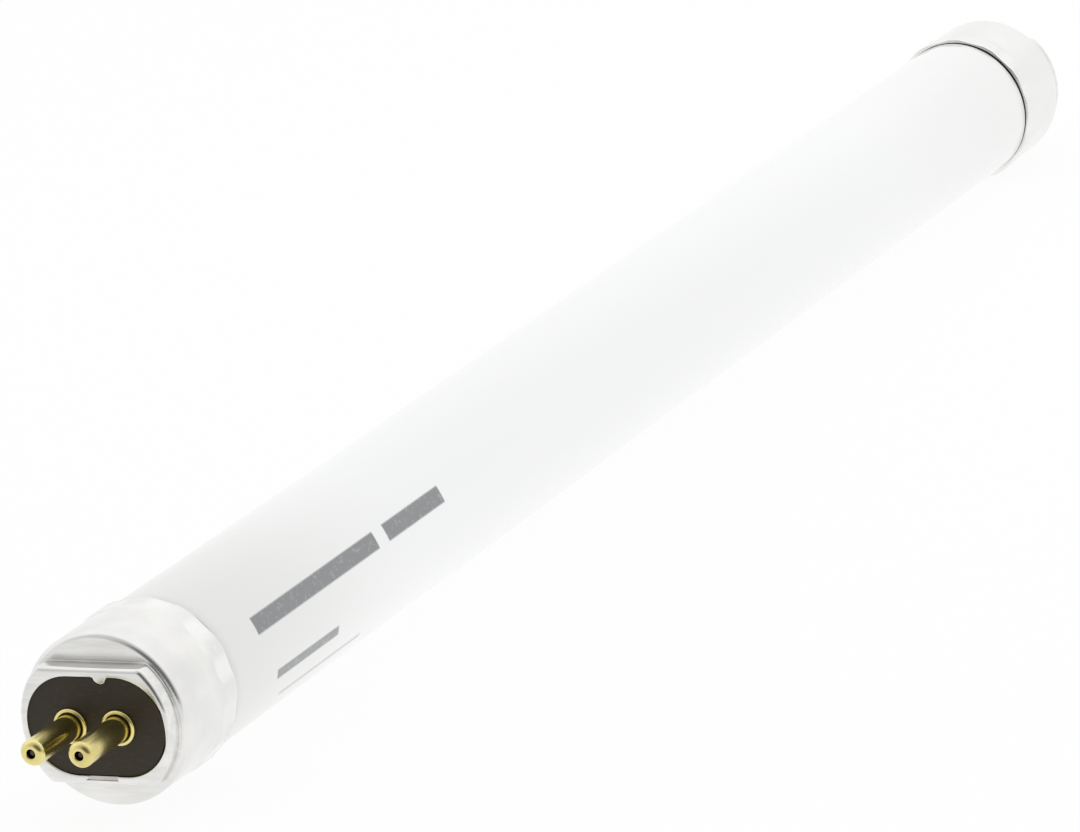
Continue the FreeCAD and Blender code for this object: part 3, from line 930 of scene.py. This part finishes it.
        # Painted shade inside the cap; under the rear cap's rim only on its shaded side.
        under_rim = [INSIDE_SHADE * share for share in self.rim_shade_share]
        rim_inner = [cap.rim_radius - cap.sheet - cap.rear_closing * (1 - share) for share in self.rim_shade_share]
        self.ring(CAP_LENGTH, rim_inner, under_rim)
        self.ring(rim_start, rim_inner, under_rim)
        self.ring(rim_start - cap.rim_ramp, inner, INSIDE_SHADE)
        self.ring(shoulder, inner, INSIDE_SHADE)
        self.ring(shoulder, self.boss(cap.sheet), INSIDE_SHADE)
        self.ring(cap.boss_edge, self.boss(cap.sheet), INSIDE_SHADE)
        self.ring(cap.sheet, self.boss(cap.boss_edge), INSIDE_SHADE)


def pin_section(pin):
    """Closed section of a pin as (depth, radius) points, from its tip hole round to its bore."""
    tip = -pin.reach
    hole, edge, bead = pin.hole_round, pin.tip_round, pin.collar_bead
    return [
        *arc(tip + hole, pin.hole_radius + hole, hole, INNER, FRONT, count=5),
        *arc(tip + edge, pin.radius - edge, edge, FRONT, OUTER, count=14),
        *((tip + place, pin.radius) for place in SHAFT_RINGS),
        *((-heights * pin.collar_front, pin.radius) for heights in PIN_SHADE_RINGS),
        (-pin.collar_groove, pin.radius),
        *arc(bead - pin.collar_front, pin.collar_radius - bead, bead, INNER, OUTER, count=13),
        (pin.collar_back, pin.collar_radius),
        (pin.collar_back, pin.shank_radius),
        (pin.rivet_front, pin.shank_radius),
        (pin.rivet_front, pin.rivet_radius),
        (pin.rivet_back, pin.rivet_radius),
        (pin.rivet_back, pin.bore_radius),
        (tip + pin.tip_wall + pin.tip_taper, pin.bore_radius),
        (tip + pin.tip_wall, pin.hole_radius),
    ]


def groove_shade(pin, depth, radius):
    """Painted shade in the groove between a pin and its collar, which thins out up the pin and up the collar.

    It also covers the hidden shank and the back of the bore.
    """
    clean = PIN_SHADE_RINGS[0] * pin.collar_front
    dirty = PIN_SHADE_RINGS[-1] * pin.collar_front
    foot = pin.collar_radius - 2 * pin.collar_bead
    up_the_pin = (clean + depth) / (clean - dirty)
    up_the_collar = 1 - (radius - foot) / (COLLAR_SHADE * pin.collar_bead)
    return min(1.0, max(0.0, up_the_pin) * max(0.0, up_the_collar))


def glass_section(glass, angle):
    """Outside of one end of the bulb at one angle, as (depth, radius) points from the stem outwards."""
    neck_start = glass.neck_start - glass.neck_lean * (1 - math.cos(angle - glass.neck_turn)) / 2
    neck_length = glass.neck_end - glass.neck_start
    widening = glass.radius - glass.neck_radius
    flare = glass.stem_mouth - glass.stem_radius
    edge = glass.end_round
    shares = spread(0.0, 1.0, count=10)
    return [
        (glass.stem_bottom, STEM_FILL * glass.stem_radius),
        (glass.stem_bottom, glass.stem_radius),
        *arc(glass.end_depth + flare, glass.stem_mouth, flare, INNER, FRONT, count=7),
        *arc(glass.end_depth + edge, glass.neck_radius - edge, edge, FRONT, OUTER, count=7),
        *((neck_start + neck_length * s, glass.neck_radius + widening * s_curve(s)) for s in shares),
    ]


class TUBE_OT_glass(bpy.types.Operator):
    """Make the coated glass tube"""

    bl_idname = "tube.glass"
    bl_label = "Glass"

    def execute(self, context):
        glass = context.scene.tube_glass
        angles = turns(GLASS_STEPS)
        sections = [glass_section(glass, angle) for angle in angles]
        front = [[end_point(d, r, a) for (d, r), a in zip(ring, angles)] for ring in zip(*sections)]
        rear = [[Vector((-p.x, p.y, p.z)) for p in ring] for ring in reversed(front)]
        places = spread(STRAIGHT_SHARE * FACE_X, -STRAIGHT_SHARE * FACE_X, count=9)
        middle = [[Vector((x, p.y, p.z)) for p in front[-1]] for x in places]
        piece = loft("tube_glass", front + middle + rear, joined_ends=False)
        settle(piece, "glass_tube", coated_glass(glass))
        return {"FINISHED"}


class TUBE_OT_caps(bpy.types.Operator):
    """Make the two drawn caps"""

    bl_idname = "tube.caps"
    bl_label = "Caps"

    def execute(self, context):
        cap = context.scene.tube_cap
        material = aluminium(cap)
        for end in ENDS:
            form = CapForm(cap, end)
            rings = placed_at(end, form.rings)
            piece = loft(f"{end}_drawn_cap", rings, joined_ends=True, paint=form.paint)
            settle(piece, f"{end}_cap", material)
        return {"FINISHED"}


class TUBE_OT_plates(bpy.types.Operator):
    """Finish the two insulator plates"""

    bl_idname = "tube.plates"
    bl_label = "Insulator plates"

    def execute(self, context):
        repaint([f"{end}_insulator" for end in ENDS], laminate(context.scene.tube_plate))
        return {"FINISHED"}


class TUBE_OT_pins(bpy.types.Operator):
    """Make the four hollow pins"""

    bl_idname = "tube.pins"
    bl_label = "Pins"

    def execute(self, context):
        pin = context.scene.tube_pin
        material = brass(pin)
        angles = turns(PIN_STEPS)
        section = pin_section(pin)
        # Painted shade in the groove round each pin.
        paint = {"painted_shade": [[groove_shade(pin, d, r)] * len(angles) for d, r in section]}
        for end in ENDS:
            for side in SIDES:
                node = f"{end}_pin_{side}"
                low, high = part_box(node)
                middle_y = (low.y + high.y) / 2 * (1 if end == "front" else -1)
                rings = placed_at(end, [[end_point(d, r, a, middle_y) for a in angles] for d, r in section])
                piece = loft(f"{end}_hollow_pin_{side}", rings, joined_ends=True, paint=paint)
                settle(piece, node, material)
        return {"FINISHED"}


class TUBE_OT_wires(bpy.types.Operator):
    """Finish the four lead-in wires"""

    bl_idname = "tube.wires"
    bl_label = "Lead-in wires"

    def execute(self, context):
        wires = [f"{end}_lead_wire_{side}" for end in ENDS for side in SIDES]
        repaint(wires, lead_wire(context.scene.tube_inside))
        return {"FINISHED"}


class TUBE_OT_cement(bpy.types.Operator):
    """Finish the two cement rings"""

    bl_idname = "tube.cement"
    bl_label = "Cement"

    def execute(self, context):
        repaint([f"{end}_cement" for end in ENDS], baked_cement(context.scene.tube_inside))
        return {"FINISHED"}


class TUBE_OT_stage(bpy.types.Operator):
    """Make the floor, the light and the camera"""

    bl_idname = "tube.stage"
    bl_label = "Studio"

    def execute(self, context):
        scene = context.scene
        studio = scene.tube_studio
        self.floor(scene, studio)
        self.sky(scene, studio)
        self.lamp(scene, studio)
        self.camera(scene, studio)
        scene.view_settings.view_transform = "Standard"
        return {"FINISHED"}

    def floor(self, scene, studio):
        """Pale floor that shows white and keeps a faint shadow, with a painted shade in front of the cap that
        only reflections show.
        """
        half = studio.floor_size / 2
        height = CAD_BOX[0][2]
        corners = [(x * half, y * half, height) for x, y in ((-1, -1), (1, -1), (1, 1), (-1, 1))]
        mesh = bpy.data.meshes.new("floor")
        mesh.from_pydata(corners, [], [(0, 1, 2, 3)])
        floor = bpy.data.objects.new("floor", mesh)
        scene.collection.objects.link(floor)
        material, shader = new_finish("floor")
        seen, glossy = shader.rays()
        before_cap = FACE_X - shader.split(shader.point())[0]
        fall = before_cap.rise(studio.front_start, studio.front_start + studio.front_fall)
        tone = shader.blend(seen, [studio.under_level] * 3, WHITE[:3])
        tone = shader.blend(glossy * fall, tone, [studio.front_level] * 3)
        paper = shader.add("ShaderNodeBsdfDiffuse", {}, {"Color": (*[studio.floor_paper] * 3, 1.0)})
        white = shader.add("ShaderNodeEmission", {}, {"Color": tone})
        share = seen * studio.floor_white + (1 - seen) * studio.floor_glow
        mixed = shader.add("ShaderNodeMixShader", {}, {0: share, 1: paper, 2: white})
        shader.add("ShaderNodeOutputMaterial", {}, {"Surface": mixed})
        material.cycles.emission_sampling = "NONE"
        mesh.materials.append(material)

    def sky(self, scene, studio):
        """White light from all round, with a dim front and a dark stretch in it that only mirrors show."""
        scene.world = bpy.data.worlds.new("studio")
        shader = Shader(scene.world)
        direction = shader.add("ShaderNodeTexCoord", {}, {}, "Generated")
        facing = shader.add(
            "ShaderNodeVectorMath", {"operation": "DOT_PRODUCT"}, {0: direction, 1: studio.front_way}, "Value"
        )
        dim = facing.rise(math.cos(studio.dim_edge), math.cos(studio.dim_core))
        dark = facing.rise(math.cos(studio.dark_edge), math.cos(studio.dark_core))
        front = 1 - dim * (1 - studio.dim_level) - dark * (studio.dim_level - studio.dark_level)
        height = shader.split(direction)[2]
        overhead = height.rise(math.sin(studio.low_edge), math.sin(studio.high_edge))
        mirrored = front * (studio.low_level + overhead * (studio.high_level - studio.low_level))
        seen, glossy = shader.rays()
        even = studio.sky_level * (1 - dim * (1 - studio.sky_front))
        level = seen * (1 - glossy * (1 - mirrored)) + (1 - seen) * even
        light = shader.add("ShaderNodeBackground", {}, {"Color": WHITE, "Strength": level})
        shader.add("ShaderNodeOutputWorld", {}, {"Surface": light})

    def lamp(self, scene, studio):
        """Soft lamp over the rear end, which lifts the far glass a little."""
        data = bpy.data.lights.new("rear_lamp", "AREA")
        data.size = studio.lamp_size
        data.energy = studio.lamp_power
        lamp = bpy.data.objects.new("rear_lamp", data)
        lamp.location = studio.lamp_place
        lamp.visible_camera = False
        lamp.visible_glossy = False
        aim = Vector((-FACE_X, 0.0, 0.0)) - lamp.location
        lamp.rotation_euler = aim.to_track_quat("-Z", "Y").to_euler()
        scene.collection.objects.link(lamp)

    def camera(self, scene, studio):
        """Camera at the photograph's viewing angle."""
        data = bpy.data.cameras.new("camera")
        data.sensor_fit = "HORIZONTAL"
        data.sensor_width = SENSOR_WIDTH
        data.lens = studio.camera_lens
        data.clip_start = CLIP_START
        camera = bpy.data.objects.new("camera", data)
        sight = Vector(studio.camera_aim) - Vector(studio.camera_place)
        camera.location = studio.camera_place
        camera.rotation_mode = "QUATERNION"
        roll = Quaternion((0.0, 0.0, 1.0), studio.camera_roll)
        camera.rotation_quaternion = sight.to_track_quat("-Z", "Y") @ roll
        scene.collection.objects.link(camera)
        scene.camera = camera


class TUBE_PT_panel(bpy.types.Panel):
    """Lists the tube's pieces in the sidebar"""

    bl_idname = "TUBE_PT_panel"
    bl_label = "Fluorescent tube"
    bl_space_type = "VIEW_3D"
    bl_region_type = "UI"
    bl_category = "Tube"

    def draw(self, context):
        for operator in OPERATORS:
            self.layout.operator(operator.bl_idname)


SETTINGS = {
    "tube_glass": GlassSettings,
    "tube_cap": CapSettings,
    "tube_plate": PlateSettings,
    "tube_pin": PinSettings,
    "tube_inside": InsideSettings,
    "tube_studio": StudioSettings,
}
OPERATORS = (
    TUBE_OT_glass, TUBE_OT_caps, TUBE_OT_plates, TUBE_OT_pins, TUBE_OT_wires, TUBE_OT_cement, TUBE_OT_stage,
)


def register():
    for name, group in SETTINGS.items():
        bpy.utils.register_class(group)
        setattr(bpy.types.Scene, name, bpy.props.PointerProperty(type=group))
    for cls in (*OPERATORS, TUBE_PT_panel):
        bpy.utils.register_class(cls)


def unregister():
    for cls in (TUBE_PT_panel, *reversed(OPERATORS)):
        bpy.utils.unregister_class(cls)
    for name, group in SETTINGS.items():
        delattr(bpy.types.Scene, name)
        bpy.utils.unregister_class(group)


def main():
    register()
    bpy.ops.tube.glass()
    bpy.ops.tube.caps()
    bpy.ops.tube.plates()
    bpy.ops.tube.pins()
    bpy.ops.tube.wires()
    bpy.ops.tube.cement()
    bpy.ops.tube.stage()


if __name__ == "__main__":
    main()
